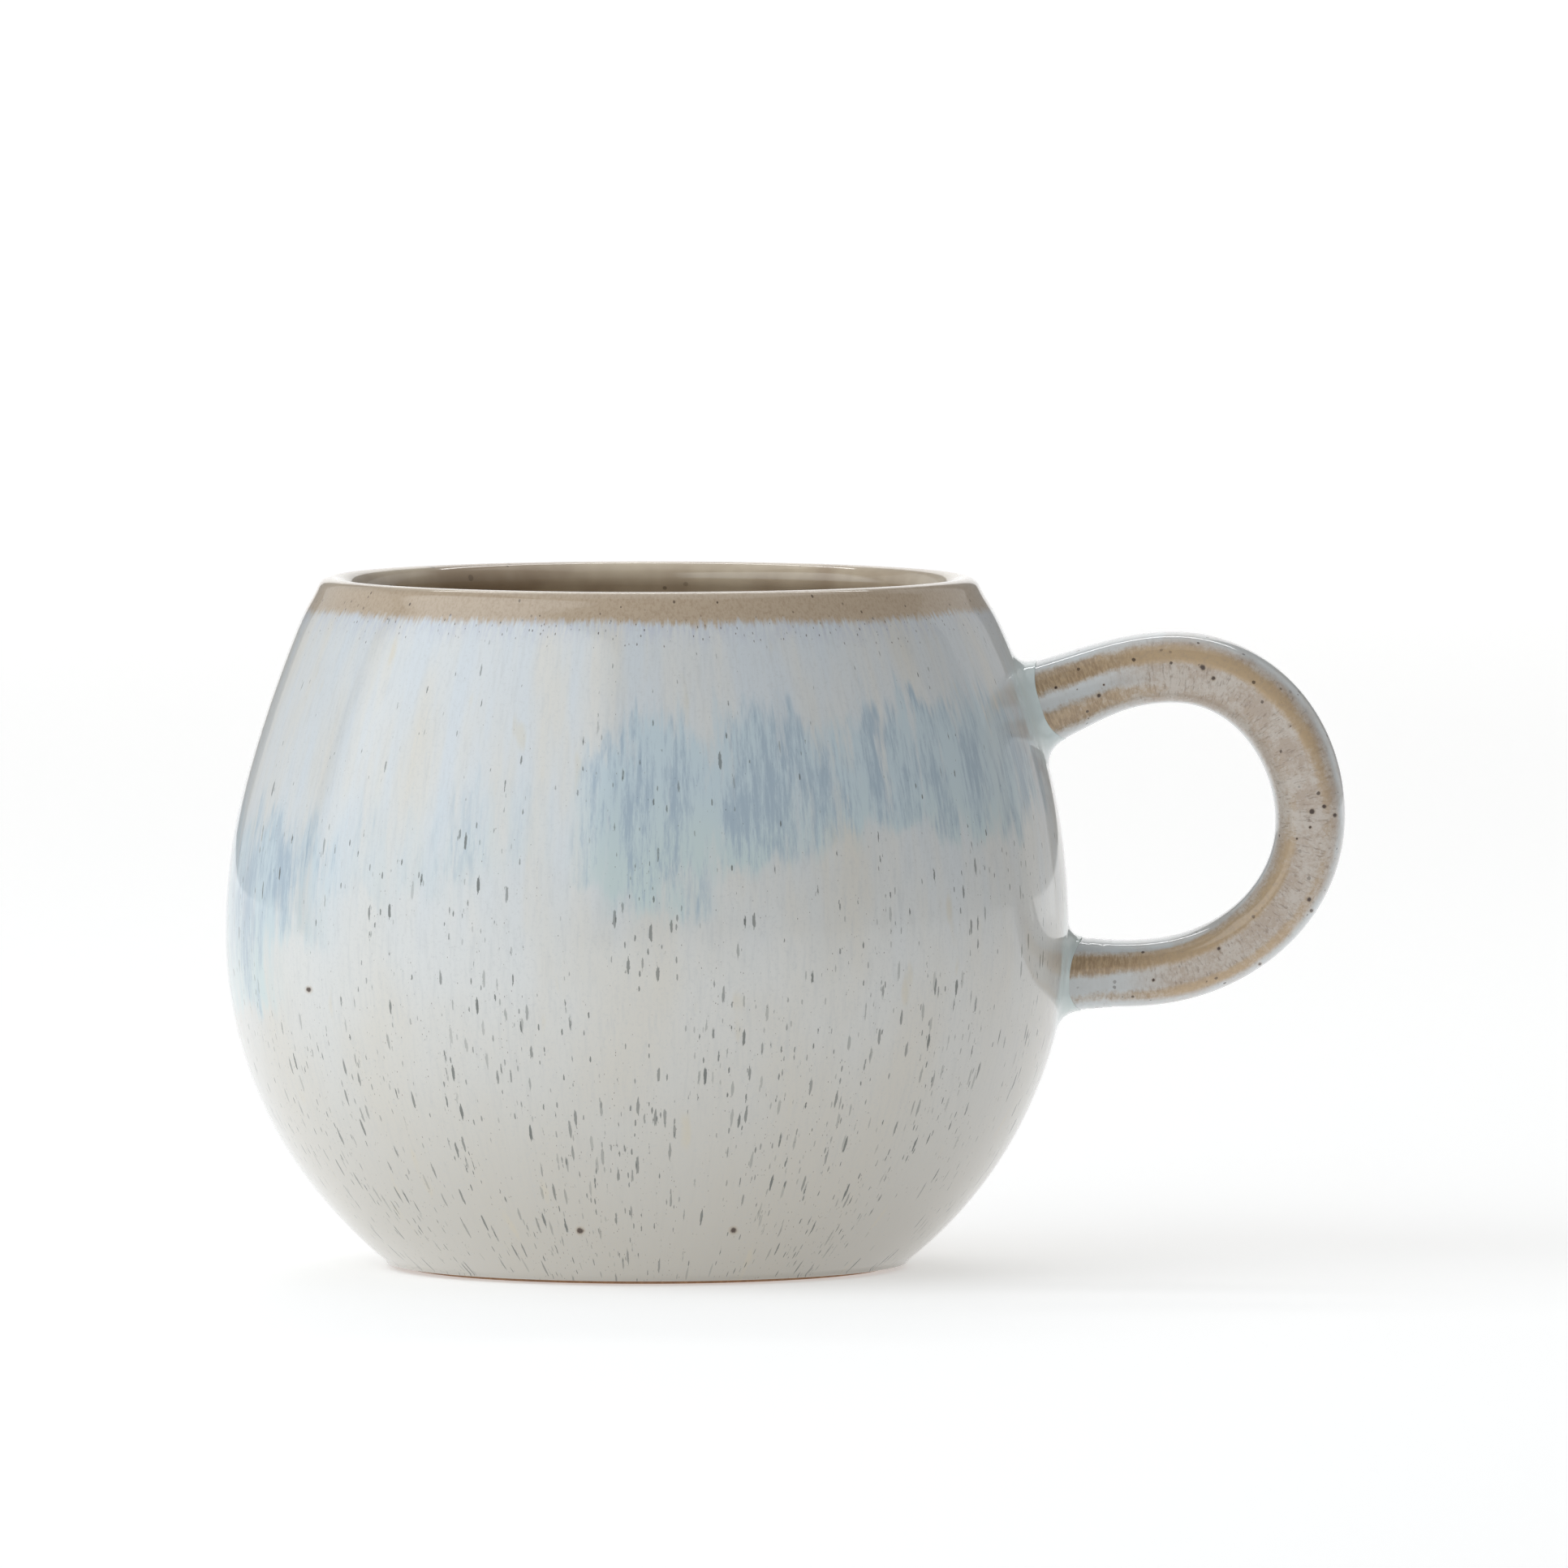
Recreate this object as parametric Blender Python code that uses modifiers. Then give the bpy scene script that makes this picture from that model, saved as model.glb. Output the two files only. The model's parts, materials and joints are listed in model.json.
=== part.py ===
"""A round-bellied stoneware mug with a pulled handle.

The thrown cup is turned about its own axis and the handle is swept along one smooth route. Every
glaze is a thin coat of its own over the clay. The origin is at the middle of the footprint, on
the face that the mug stands on, with the handle towards +X.
"""

import math

import bmesh
import bpy

# Driving dimensions, in metres -------------------------------------------------------------

# The finished cup, glaze included
MUG_HEIGHT = 0.0834
BELLY_RADIUS = 0.0510
BELLY_HEIGHT = 0.0405
LIP_RADIUS = 0.0407
FOOT_RADIUS = 0.0306
WALL = 0.0042
FLOOR_HEIGHT = 0.0082
FLOOR_FILLET = 0.0180

# The trimmed foot
FOOT_RING_WIDTH = 0.0050
FOOT_BEVEL = 0.0005
RECESS_DEPTH = 0.0024
RECESS_SLOPE = 0.0016

# The glazes
COAT = 0.0004
FIT_GAP = 0.0003
LIP_BAND = 0.0015
BARE_FOOT = 0.0007
UNDERSIDE_MARGIN = 0.0012

# The finished handle, measured on its centre line unless it says otherwise
HANDLE_PROJECTION = 0.0331
HANDLE_THICKNESS = 0.0086
HANDLE_WIDTH = 0.0118
SECTION_POWER = 2.6
UPPER_JOINT_DROP = 0.0157
UPPER_LEAN = math.radians(4)
UPPER_SPUR = 0.0080
UPPER_BEND = 0.0260
GRIP_LIFT = 0.0025
LOWER_JOINT_HEIGHT = 0.0354
LOWER_SPUR = 0.0080
ROOT_DEPTH = 0.0025

# The handle's section against its full size, at places along the route
UPPER_ROOT_SCALE = 1.24
CROWN_SCALE = 1.00
SHOULDER_SCALE = 1.04
GRIP_SCALE = 0.90
HEEL_SCALE = 1.00
LOWER_ROOT_SCALE = 1.14

# The fillets at the handle's two ends
JOINT_RISE = 0.0026
JOINT_SPREAD = 0.0018

# Smoothness
TURN_STEPS = 48
ARC_STEPS = 4
BOWL_STEPS = 7
LIP_STEPS = 6
SECTION_SIDES = 16
SPUR_RINGS = 4
BEND_RINGS = 3
QUARTER_RINGS = 9
JOINT_RINGS = 5
SHARP_ANGLE = math.radians(35)
MERGE = 0.000005

# Plain finishes
CLAY_COLOUR = (0.30, 0.19, 0.12)
GLAZE_COLOUR = (0.72, 0.72, 0.70)
LINER_COLOUR = (0.40, 0.38, 0.34)
POOLED_COLOUR = (0.70, 0.76, 0.76)
CLAY_ROUGHNESS = 0.85
GLAZE_ROUGHNESS = 0.14

# Sizes that follow from them ----------------------------------------------------------------

CLAY_DEPTH = COAT + FIT_GAP
LIP_ROUND = WALL / 2
AXIS_X = -HANDLE_PROJECTION / 2
UPPER_JOINT_HEIGHT = MUG_HEIGHT - UPPER_JOINT_DROP
GRIP_HEIGHT = (UPPER_JOINT_HEIGHT + LOWER_JOINT_HEIGHT) / 2 + GRIP_LIFT
GRIP_REACH = BELLY_RADIUS + HANDLE_PROJECTION - GRIP_SCALE * HANDLE_THICKNESS / 2


# The cup's section ----------------------------------------------------------------------------

def arc_centre(radius_at_belly, radius_at_end, rise):
    """Distance from the axis of the centre of the arc that leaves the belly vertically."""
    across = radius_at_belly**2 - radius_at_end**2 - rise**2
    return across / (2 * (radius_at_belly - radius_at_end))


LIP_CENTRE_HEIGHT = MUG_HEIGHT - LIP_ROUND
SHOULDER_CENTRE = arc_centre(BELLY_RADIUS - LIP_ROUND, LIP_RADIUS - LIP_ROUND,
                             LIP_CENTRE_HEIGHT - BELLY_HEIGHT)
SHOULDER_ARC = BELLY_RADIUS - SHOULDER_CENTRE
BOWL_CENTRE = arc_centre(BELLY_RADIUS, FOOT_RADIUS, BELLY_HEIGHT)
BOWL_ARC = BELLY_RADIUS - BOWL_CENTRE
LIP_TILT = math.asin((LIP_CENTRE_HEIGHT - BELLY_HEIGHT) / (SHOULDER_ARC - LIP_ROUND))
FILLET_REACH = BOWL_ARC - WALL - FLOOR_FILLET
FILLET_DROP = BELLY_HEIGHT - FLOOR_HEIGHT - FLOOR_FILLET
FILLET_TILT = math.asin(FILLET_DROP / FILLET_REACH)
FILLET_CENTRE = BOWL_CENTRE + FILLET_REACH * math.cos(FILLET_TILT)


def arc(centre, radius, start, end, steps):
    """Points on an arc in the section, from one angle to another, both ends included."""
    points = []
    for step in range(steps + 1):
        angle = start + (end - start) * step / steps
        points.append((centre[0] + radius * math.cos(angle), centre[1] + radius * math.sin(angle)))
    return points


def inner_side(depth):
    """The inside of the cup from the middle of its floor up to the lip, depth below the glaze."""
    fillet_centre = (FILLET_CENTRE, FLOOR_HEIGHT + FLOOR_FILLET)
    bowl_radius = BOWL_ARC - WALL + depth
    shoulder_radius = SHOULDER_ARC - WALL + depth
    points = [(0.0, FLOOR_HEIGHT - depth)]
    points += arc(fillet_centre, FLOOR_FILLET + depth, -math.pi / 2, -FILLET_TILT, ARC_STEPS)
    points += arc((BOWL_CENTRE, BELLY_HEIGHT), bowl_radius, -FILLET_TILT, 0, ARC_STEPS)[1:]
    points += arc((SHOULDER_CENTRE, BELLY_HEIGHT), shoulder_radius, 0, LIP_TILT, ARC_STEPS)[1:]
    return points


def lip_round(depth):
    """The rounded lip, from the inside of the wall over to the outside."""
    along = SHOULDER_ARC - LIP_ROUND
    centre = (SHOULDER_CENTRE + along * math.cos(LIP_TILT), LIP_CENTRE_HEIGHT)
    return arc(centre, LIP_ROUND - depth, LIP_TILT + math.pi, LIP_TILT, LIP_STEPS)[1:-1]


def shoulder_side(depth, start, end, steps=ARC_STEPS):
    """The outside above the belly, between two angles of its arc."""
    return arc((SHOULDER_CENTRE, BELLY_HEIGHT), SHOULDER_ARC - depth, start, end, steps)


def bowl_side(depth, end_height):
    """The outside below the belly, down to a height, without the belly's own point."""
    radius = BOWL_ARC - depth
    end = -math.asin((BELLY_HEIGHT - end_height) / radius)
    return arc((BOWL_CENTRE, BELLY_HEIGHT), radius, 0, end, BOWL_STEPS)[1:]


def outside_radius(height, depth=0.0):
    """Distance of the outside from the cup's axis at a height."""
    if height >= BELLY_HEIGHT:
        centre, radius = SHOULDER_CENTRE, SHOULDER_ARC - depth
    else:
        centre, radius = BOWL_CENTRE, BOWL_ARC - depth
    return centre + math.sqrt(radius**2 - (height - BELLY_HEIGHT)**2)


def foot_line():
    """The underside of the clay, from the foot's outer edge to the axis."""
    edge = outside_radius(FOOT_BEVEL, CLAY_DEPTH)
    ring_outer = edge - FOOT_BEVEL
    ring_inner = ring_outer - FOOT_RING_WIDTH
    recess = ring_inner - RECESS_SLOPE
    return [(ring_outer, 0.0), (ring_inner, 0.0), (recess, RECESS_DEPTH), (0.0, RECESS_DEPTH)]


def cup_section():
    """The clay cup's outline, from the floor's middle over the lip and back under the foot."""
    points = inner_side(CLAY_DEPTH)
    points += lip_round(CLAY_DEPTH)
    points += shoulder_side(CLAY_DEPTH, LIP_TILT, 0)
    points += bowl_side(CLAY_DEPTH, FOOT_BEVEL)
    return points + foot_line()


def band_tilt():
    """Angle of the shoulder's arc at which the liner glaze stops, outside and below the lip."""
    return LIP_TILT - LIP_BAND / SHOULDER_ARC


def liner_section():
    """The liner glaze: its bare face from outside the lip to the floor, and back on the clay."""
    tilt = band_tilt()
    face = inner_side(0) + lip_round(0) + shoulder_side(0, LIP_TILT, tilt, 1)
    back = inner_side(COAT) + lip_round(COAT) + shoulder_side(COAT, LIP_TILT, tilt, 1)
    return face + back[::-1]


def outer_section():
    """The outer glaze, a closed ring from just under the liner to just above the foot."""
    tilt = band_tilt() - FIT_GAP / SHOULDER_ARC
    face = shoulder_side(0, tilt, 0) + bowl_side(0, BARE_FOOT)
    back = shoulder_side(COAT, tilt, 0) + bowl_side(COAT, BARE_FOOT)
    return face + back[::-1]


def underside_section():
    """The glaze in the recess under the foot, a thin disc."""
    edge = foot_line()[2][0] - UNDERSIDE_MARGIN
    top = RECESS_DEPTH - FIT_GAP
    return [(0.0, top), (edge, top), (edge, top - COAT), (0.0, top - COAT)]


def clearance_section():
    """Everything nearer to the axis than the clay's outside plus the fit gap."""
    points = [(0.0, MUG_HEIGHT)]
    points += shoulder_side(COAT, LIP_TILT, 0)
    points += bowl_side(COAT, FOOT_BEVEL)
    return points + [(0.0, FOOT_BEVEL)]


# The handle's route -----------------------------------------------------------------------------

def ease(start, end, share):
    """A smooth change from one value to another."""
    share = min(1.0, max(0.0, share))
    return start + (end - start) * share * share * (3 - 2 * share)


def upper_spur(along):
    """A point of the straight stretch that rises from the shoulder, and its slope."""
    tilt = math.asin((UPPER_JOINT_HEIGHT - BELLY_HEIGHT) / SHOULDER_ARC) + UPPER_LEAN
    x = outside_radius(UPPER_JOINT_HEIGHT) + along * math.cos(tilt)
    z = UPPER_JOINT_HEIGHT + along * math.sin(tilt)
    return x, z, tilt


def lower_spur(along):
    """A point of the level stretch that runs back into the cup."""
    return outside_radius(LOWER_JOINT_HEIGHT) + along, LOWER_JOINT_HEIGHT


def upper_stations(distances):
    """Stations (x, z, scale) at the given distances from the cup along the upper spur."""
    stations = []
    for along in distances:
        x, z, _ = upper_spur(along)
        stations.append((x, z, ease(UPPER_ROOT_SCALE, CROWN_SCALE, along / UPPER_SPUR)))
    return stations


def lower_stations(distances):
    """Stations (x, z, scale) at the given distances from the cup along the lower spur."""
    stations = []
    for along in distances:
        x, z = lower_spur(along)
        stations.append((x, z, ease(LOWER_ROOT_SCALE, HEEL_SCALE, along / LOWER_SPUR)))
    return stations


def ear_stations():
    """The bent stretch between the two spurs: a short bend and two quarters of ellipses."""
    spur_x, spur_z, tilt = upper_spur(UPPER_SPUR)
    crown_x = spur_x + UPPER_BEND * math.sin(tilt)
    crown_z = spur_z + UPPER_BEND * (1 - math.cos(tilt))
    heel_x, heel_z = lower_spur(LOWER_SPUR)
    stations = []
    for step in range(BEND_RINGS + 1):
        angle = tilt * (1 - step / BEND_RINGS)
        x = crown_x - UPPER_BEND * math.sin(angle)
        z = crown_z - UPPER_BEND * (1 - math.cos(angle))
        stations.append((x, z, CROWN_SCALE))
    for step in range(1, QUARTER_RINGS + 1):
        share = step / QUARTER_RINGS
        angle = math.pi / 2 * share
        x = crown_x + (GRIP_REACH - crown_x) * math.sin(angle)
        z = GRIP_HEIGHT + (crown_z - GRIP_HEIGHT) * math.cos(angle)
        swell = ease(CROWN_SCALE, SHOULDER_SCALE, 2 * share)
        stations.append((x, z, swell + ease(0, GRIP_SCALE - SHOULDER_SCALE, 2 * share - 1)))
    for step in range(1, QUARTER_RINGS + 1):
        share = step / QUARTER_RINGS
        angle = math.pi / 2 * share
        x = heel_x + (GRIP_REACH - heel_x) * math.cos(angle)
        z = GRIP_HEIGHT - (GRIP_HEIGHT - heel_z) * math.sin(angle)
        stations.append((x, z, ease(GRIP_SCALE, HEEL_SCALE, share)))
    return stations


def handle_route(start):
    """The whole centre line, from a distance along the upper spur to the same on the lower."""
    upper = upper_stations(spaced(start, UPPER_SPUR, SPUR_RINGS)[:-1])
    lower = lower_stations(spaced(LOWER_SPUR, start, SPUR_RINGS)[1:])
    return upper + ear_stations() + lower


def spaced(start, end, steps):
    """Evenly spaced values, both ends included."""
    return [start + (end - start) * step / steps for step in range(steps + 1)]


def joint_route(stations_at, gap):
    """The flared centre line of one joint's fillet, or of the room it needs with a gap."""
    half = HANDLE_THICKNESS / 2
    flared = []
    distances = [-ROOT_DEPTH, *spaced(0.0, JOINT_RISE, JOINT_RINGS)]
    for along, (x, z, scale) in zip(distances, stations_at(distances)):
        left = 1 - max(0.0, along) / JOINT_RISE
        slope = 2 * JOINT_SPREAD * left / JOINT_RISE
        reach = JOINT_SPREAD * left**2 + gap * math.hypot(1, slope)
        flared.append((x, z, scale + reach / half))
    return flared


# Blender objects ----------------------------------------------------------------------------------

def clear_scene():
    """Empty the scene without closing the file."""
    for thing in list(bpy.data.objects):
        bpy.data.objects.remove(thing, do_unlink=True)


def new_collection(name):
    """A collection under the scene's own."""
    collection = bpy.data.collections.new(name)
    bpy.context.scene.collection.children.link(collection)
    return collection


def add_object(name, data, collection):
    """Put new data in the scene as an object that hangs on the cup's axis."""
    thing = bpy.data.objects.new(name, data)
    collection.objects.link(thing)
    thing.parent = cup_axis
    return thing


def as_cutter(thing):
    """Mark an object as a tool that only shapes others."""
    thing.hide_render = True
    thing.display_type = "WIRE"
    return thing


def turned(name, section, closed, collection):
    """A turned shape: a section at +X, spun about the cup's axis by a Screw modifier."""
    edges = [(i, i + 1) for i in range(len(section) - 1)]
    if closed:
        edges.append((len(section) - 1, 0))
    mesh = bpy.data.meshes.new(name)
    mesh.from_pydata([(x, 0.0, z) for x, z in section], edges, [])
    thing = add_object(name, mesh, collection)
    screw = thing.modifiers.new("Turn", "SCREW")
    screw.axis = "Z"
    screw.angle = 2 * math.pi
    screw.steps = TURN_STEPS
    screw.render_steps = TURN_STEPS
    screw.use_merge_vertices = True
    screw.merge_threshold = MERGE
    screw.use_smooth_shade = True
    return thing


def oval_section(depth):
    """The handle's section, a soft-cornered oval, as a closed curve to sweep."""
    half_thickness = HANDLE_THICKNESS / 2 - depth
    half_width = HANDLE_WIDTH / 2 - depth
    curve = bpy.data.curves.new("handle_section", "CURVE")
    curve.dimensions = "2D"
    spline = curve.splines.new("POLY")
    spline.points.add(SECTION_SIDES - 1)
    for i, point in enumerate(spline.points):
        angle = 2 * math.pi * i / SECTION_SIDES
        cos, sin = math.cos(angle), math.sin(angle)
        x = math.copysign(half_thickness * abs(cos)**(2 / SECTION_POWER), cos)
        y = math.copysign(half_width * abs(sin)**(2 / SECTION_POWER), sin)
        point.co = (x, y, 0.0, 1.0)
    spline.use_cyclic_u = True
    return curve


def swept(name, stations, depth, collection):
    """The handle's section swept along stations (x, z, scale) and closed with caps."""
    profile = bpy.data.objects.new("handle_section", oval_section(depth))
    collection.objects.link(profile)
    curve = bpy.data.curves.new(name, "CURVE")
    curve.dimensions = "3D"
    curve.twist_mode = "Z_UP"
    curve.bevel_mode = "OBJECT"
    curve.bevel_object = profile
    curve.use_fill_caps = True
    spline = curve.splines.new("POLY")
    spline.points.add(len(stations) - 1)
    for point, (x, z, scale) in zip(spline.points, stations):
        point.co = (x, z, 0.0, 1.0)
        point.radius = scale
    guide = add_object(name + "_guide", curve, collection)
    guide.rotation_euler.x = math.pi / 2
    bpy.context.view_layer.update()
    evaluated = guide.evaluated_get(bpy.context.evaluated_depsgraph_get())
    mesh = bpy.data.meshes.new_from_object(evaluated)
    mesh.name = name
    place = guide.matrix_world.copy()
    bpy.data.objects.remove(guide, do_unlink=True)
    bpy.data.objects.remove(profile, do_unlink=True)
    cage = bmesh.new()
    cage.from_mesh(mesh)
    bmesh.ops.remove_doubles(cage, verts=cage.verts, dist=MERGE)
    bmesh.ops.recalc_face_normals(cage, faces=cage.faces)
    cage.to_mesh(mesh)
    cage.free()
    mesh.shade_smooth()
    mesh.set_sharp_from_angle(angle=SHARP_ANGLE)
    thing = add_object(name, mesh, collection)
    thing.matrix_world = place
    return thing


def cut(thing, tools):
    """Take each tool's shape out of an object."""
    for tool in tools:
        boolean = thing.modifiers.new("Cut " + tool.name, "BOOLEAN")
        boolean.operation = "DIFFERENCE"
        boolean.solver = "EXACT"
        boolean.object = tool


def finish(thing, colour, roughness):
    """Give an object a plain material of its own."""
    material = bpy.data.materials.new(thing.name)
    material.use_nodes = True
    shader = material.node_tree.nodes["Principled BSDF"]
    shader.inputs["Base Color"].default_value = (*colour, 1.0)
    shader.inputs["Roughness"].default_value = roughness
    shader.inputs["Metallic"].default_value = 0.0
    thing.data.materials.append(material)


# Making the mug ------------------------------------------------------------------------------------

clear_scene()
mug = new_collection("ceramic_mug")
cutters = new_collection("cutters")
cup_axis = bpy.data.objects.new("cup_axis", None)
mug.objects.link(cup_axis)
cup_axis.location.x = AXIS_X
bpy.context.view_layer.update()

# Tools that keep the fit gap between neighbours
cup_room = as_cutter(turned("cup_room", clearance_section(), False, cutters))
handle_room = as_cutter(swept("handle_room", handle_route(-2 * ROOT_DEPTH), COAT, cutters))
upper_room = as_cutter(swept("upper_room", joint_route(upper_stations, FIT_GAP), 0.0, cutters))
lower_room = as_cutter(swept("lower_room", joint_route(lower_stations, FIT_GAP), 0.0, cutters))

# Clay
cup_body = turned("cup_body", cup_section(), False, mug)
finish(cup_body, CLAY_COLOUR, CLAY_ROUGHNESS)

handle = swept("handle", handle_route(-ROOT_DEPTH), CLAY_DEPTH, mug)
cut(handle, [cup_room])
finish(handle, CLAY_COLOUR, CLAY_ROUGHNESS)

upper_handle_joint = swept("upper_handle_joint", joint_route(upper_stations, 0.0), 0.0, mug)
cut(upper_handle_joint, [cup_room, handle_room])
finish(upper_handle_joint, POOLED_COLOUR, GLAZE_ROUGHNESS)

lower_handle_joint = swept("lower_handle_joint", joint_route(lower_stations, 0.0), 0.0, mug)
cut(lower_handle_joint, [cup_room, handle_room])
finish(lower_handle_joint, POOLED_COLOUR, GLAZE_ROUGHNESS)

# Glaze
liner_glaze = turned("liner_glaze", liner_section(), False, mug)
finish(liner_glaze, LINER_COLOUR, GLAZE_ROUGHNESS)

outer_glaze = turned("outer_glaze", outer_section(), True, mug)
cut(outer_glaze, [upper_room, lower_room])
finish(outer_glaze, GLAZE_COLOUR, GLAZE_ROUGHNESS)

handle_glaze = swept("handle_glaze", handle_route(JOINT_RISE + FIT_GAP), 0.0, mug)
cut(handle_glaze, [handle_room])
finish(handle_glaze, GLAZE_COLOUR, GLAZE_ROUGHNESS)

underside_glaze = turned("underside_glaze", underside_section(), False, mug)
finish(underside_glaze, LINER_COLOUR, GLAZE_ROUGHNESS)
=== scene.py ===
# %% [markdown]
# # A hand-thrown stoneware mug
#
# This lesson dresses a finished mug design. The design already fixes every size: a round cup, a
# pulled handle, and thin coats of glaze over the clay. Here each coat is made again as a much
# finer surface with a small handmade unevenness, and gets a glaze written out of shader nodes.
# All lengths are in metres unless a name says otherwise, and +Z is up.

# %% Load the design
import json
import math

import bmesh
import bpy
import numpy as np
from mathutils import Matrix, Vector, noise

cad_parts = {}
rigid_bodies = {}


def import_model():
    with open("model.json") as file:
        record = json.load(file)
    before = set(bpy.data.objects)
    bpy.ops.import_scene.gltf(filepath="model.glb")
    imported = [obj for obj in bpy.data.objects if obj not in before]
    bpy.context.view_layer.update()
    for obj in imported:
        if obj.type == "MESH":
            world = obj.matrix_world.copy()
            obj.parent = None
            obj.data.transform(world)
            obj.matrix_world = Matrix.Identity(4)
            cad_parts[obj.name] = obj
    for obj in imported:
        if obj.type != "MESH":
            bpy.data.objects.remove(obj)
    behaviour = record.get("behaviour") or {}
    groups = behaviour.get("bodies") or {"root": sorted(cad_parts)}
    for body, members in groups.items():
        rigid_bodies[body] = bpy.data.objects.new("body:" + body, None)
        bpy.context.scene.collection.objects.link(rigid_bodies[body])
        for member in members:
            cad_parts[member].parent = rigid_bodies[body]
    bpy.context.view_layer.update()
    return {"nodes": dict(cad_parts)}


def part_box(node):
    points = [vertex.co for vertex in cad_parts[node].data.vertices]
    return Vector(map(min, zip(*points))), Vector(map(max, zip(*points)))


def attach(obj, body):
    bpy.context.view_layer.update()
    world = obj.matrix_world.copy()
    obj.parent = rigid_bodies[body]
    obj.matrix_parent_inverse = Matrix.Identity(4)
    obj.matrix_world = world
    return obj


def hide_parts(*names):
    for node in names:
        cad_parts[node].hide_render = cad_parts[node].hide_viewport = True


for left_over in list(bpy.data.objects):
    bpy.data.objects.remove(left_over, do_unlink=True)

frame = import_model()
print("the design has", len(frame["nodes"]), "nodes")

# %% [markdown]
# ## What the design says
#
# Places come from the boxes of the design's own nodes, so they follow it. The outer glaze is
# round, so its box gives the cup's axis and its widest radius, and the liner's box gives the
# height. The handle's box gives how far the handle reaches.

# %% Read the main sizes
MM = 0.001
glaze_low, glaze_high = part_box("outer_glaze")
liner_low, liner_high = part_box("liner_glaze")
handle_low, handle_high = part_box("handle_glaze")

BELLY_RADIUS = (glaze_high.y - glaze_low.y) / 2
AXIS_X = glaze_low.x + BELLY_RADIUS
HEIGHT = liner_high.z
COAT = 0.4 * MM
WALL = BELLY_RADIUS - (liner_high.y - liner_low.y) / 2 + COAT
HANDLE_REACH = handle_high.x - AXIS_X
print(f"axis at x = {AXIS_X / MM:.2f} mm, belly radius {BELLY_RADIUS / MM:.2f} mm")
print(f"height {HEIGHT / MM:.2f} mm, wall {WALL / MM:.2f} mm, reach {HANDLE_REACH / MM:.2f} mm")

# %% [markdown]
# ## The camera and the light
#
# The mug is seen from about three metres away and a little above its rim, so the lens is a long
# one and the rim shows as a flat ellipse. A glossy glaze shows every light as a reflection, so
# they are few and soft: one large window on the left, a weaker tall strip behind on the right, a
# wide card behind on the left, and a pale room all round. A light from above and one on the
# background keep the floor and what is behind the mug almost white.

# %% Camera
CAMERA_DISTANCE = 3.0
CAMERA_HEIGHT = 0.229
AIM_HEIGHT = 0.0583
VIEW_WIDTH = 0.1894
SENSOR = 36.0

camera_data = bpy.data.cameras.new("camera")
camera = bpy.data.objects.new("camera", camera_data)
bpy.context.scene.collection.objects.link(camera)
bpy.context.scene.camera = camera
camera.location = (0, -CAMERA_DISTANCE, CAMERA_HEIGHT)
camera.rotation_euler.x = math.pi / 2 - math.atan((CAMERA_HEIGHT - AIM_HEIGHT) / CAMERA_DISTANCE)
camera_data.sensor_width = SENSOR
camera_data.lens = SENSOR * math.hypot(CAMERA_DISTANCE, CAMERA_HEIGHT - AIM_HEIGHT) / VIEW_WIDTH
camera_data.clip_end = 20
print(f"camera with a {camera_data.lens:.0f} mm lens")

# %% Lights and world
def area_light(name, place, target, size, power, colour):
    """A soft rectangular light at a place, facing a target."""
    data = bpy.data.lights.new(name, "AREA")
    data.shape = "RECTANGLE"
    data.size, data.size_y = size
    data.energy = power
    data.color = colour
    light = bpy.data.objects.new(name, data)
    bpy.context.scene.collection.objects.link(light)
    light.location = place
    light.rotation_euler = (Vector(target) - Vector(place)).to_track_quat("-Z", "Y").to_euler()
    light.visible_camera = False
    return light


MUG_MIDDLE = (AXIS_X, 0, HEIGHT / 2)
area_light("strip", (0.66, 0.64, 0.475), (AXIS_X, 0, 0.475), (0.46, 0.95), 0.44, (1, 1, 1))
area_light("far_card", (-1.5, 1.2, 0.60), MUG_MIDDLE, (1.9, 1.3), 2.6, (0.93, 0.97, 1.0))
area_light("top", (0, 0.1, 1.3), MUG_MIDDLE, (1.2, 1.2), 2.9, (1, 1, 1))
area_light("backdrop", (0, 2.3, 2.6), (0, 3.5, 0.3), (2.4, 0.8), 33, (1, 1, 1))

world = bpy.data.worlds.new("pale_room")
bpy.context.scene.world = world
world.use_nodes = True
world.node_tree.nodes["Background"].inputs["Color"].default_value = (1.0, 0.99, 0.96, 1)
world.node_tree.nodes["Background"].inputs["Strength"].default_value = 0.26
bpy.context.scene.view_settings.view_transform = "Standard"
print("four lights and a pale room")

# %% Soft window
WINDOW_MIDDLE = Vector((-0.70, -0.42, 0.66))
WINDOW_HALF = (0.98, 0.68)
WINDOW_STRENGTH = 1.85


def window_card():
    """A glowing card on the left that fades out towards its edges, like a softbox."""
    mesh = bpy.data.meshes.new("window")
    corners = [(side * WINDOW_HALF[0], up * WINDOW_HALF[1], 0)
               for side, up in ((-1, -1), (1, -1), (1, 1), (-1, 1))]
    mesh.from_pydata(corners, [], [(0, 1, 2, 3)])
    card = bpy.data.objects.new("window", mesh)
    bpy.context.scene.collection.objects.link(card)
    card.location = WINDOW_MIDDLE
    facing = Vector(MUG_MIDDLE) - WINDOW_MIDDLE
    facing.z = 0
    card.rotation_euler = facing.to_track_quat("Z", "Y").to_euler()
    card.visible_camera = False
    return card


window = window_card()
print("a window card", 2 * WINDOW_HALF[0], "m wide")

# %% [markdown]
# ## Surfaces from rings
#
# Every piece of a mug is a stack of rings: a cup is round rings on one axis, and a handle is oval
# rings along a bent line. So one function makes them all. It takes the rings as one array, joins
# each to the next with four-sided faces, and merges the points of a ring that has shrunk to a
# point, such as the middle of the floor.

# %% Join rings into a mesh
AROUND = 288
SHARP = math.radians(40)
MERGE = 0.002 * MM


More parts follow.
